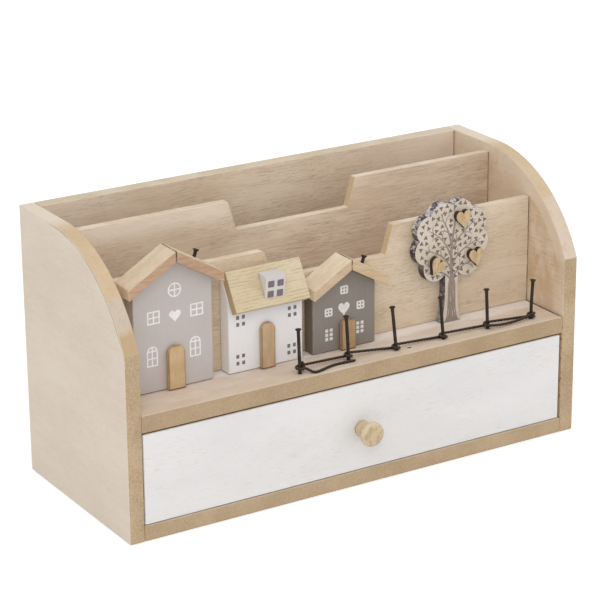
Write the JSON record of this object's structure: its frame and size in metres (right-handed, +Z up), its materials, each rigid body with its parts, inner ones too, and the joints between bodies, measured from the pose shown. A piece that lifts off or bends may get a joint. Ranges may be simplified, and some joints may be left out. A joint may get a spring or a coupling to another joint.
{
  "type": "letter rack",
  "caption": "wooden desk letter rack with two open slots, a drawer below and a small street of painted houses, a tree and a nail-and-twine fence on its front shelf",
  "frame": {"origin": "the centre of the case's footprint, on the surface that the rack stands on; the knob reaches 14 mm in front of that footprint", "axes": "+Z is up, the front with the drawer faces -Y, and +X is to the right of someone who faces the front, along the rack's length"},
  "size_m": [0.3, 0.1354, 0.161],
  "materials": {
    "limed_veneer": "limed, matt",
    "inner_veneer": "limed, matt",
    "painted_front": "white limed over grain, matt",
    "drawer_wood": "bare, sanded",
    "knob_wood": "turned, matt lacquer",
    "screw_steel": "zinc plated",
    "grey_paint": "grey paint, matt",
    "white_paint": "white paint, matt",
    "taupe_paint": "dark taupe paint, matt",
    "pale_pine": "bare, sanded",
    "door_wood": "stained, matt",
    "dark_nail": "blackened",
    "waxed_twine": "waxed",
    "printed_board": "printed face, whitewashed edge",
    "heart_wood": "laser cut, burnt edge"
  },
  "bodies": {
    "case": {"left_side": "limed_veneer", "right_side": "limed_veneer", "bottom_board": "limed_veneer", "shelf_board": "limed_veneer", "back_panel": "inner_veneer", "front_divider": "inner_veneer", "rear_divider": "inner_veneer", "grey_house_block": "grey_paint", "grey_house_roof_left": "pale_pine", "grey_house_roof_right": "pale_pine", "grey_house_door": "door_wood", "grey_house_chimney": "dark_nail", "white_house_block": "white_paint", "white_house_roof": "pale_pine", "white_house_dormer": "white_paint", "white_house_door": "door_wood", "dark_house_block": "taupe_paint", "dark_house_roof_left": "pale_pine", "dark_house_roof_right": "pale_pine", "dark_house_door": "door_wood", "dark_house_chimney": "dark_nail", "tree_board": "printed_board", "tree_heart_1": "heart_wood", "tree_heart_2": "heart_wood", "tree_heart_3": "heart_wood", "fence_nail_1": "dark_nail", "fence_nail_2": "dark_nail", "fence_nail_3": "dark_nail", "fence_nail_4": "dark_nail", "fence_nail_5": "dark_nail", "fence_nail_6": "dark_nail", "fence_twine": "waxed_twine"},
    "drawer": {"drawer_front": "painted_front", "drawer_left_wall": "drawer_wood", "drawer_right_wall": "drawer_wood", "drawer_back": "drawer_wood", "drawer_base": "drawer_wood", "drawer_knob": "knob_wood", "knob_screw": "screw_steel"}
  },
  "joints": [
    {"name": "drawer_slide", "type": "slide", "parent": "case", "child": "drawer", "axis": [0, -1, 0], "range_m": [0, 0.085]}
  ]
}
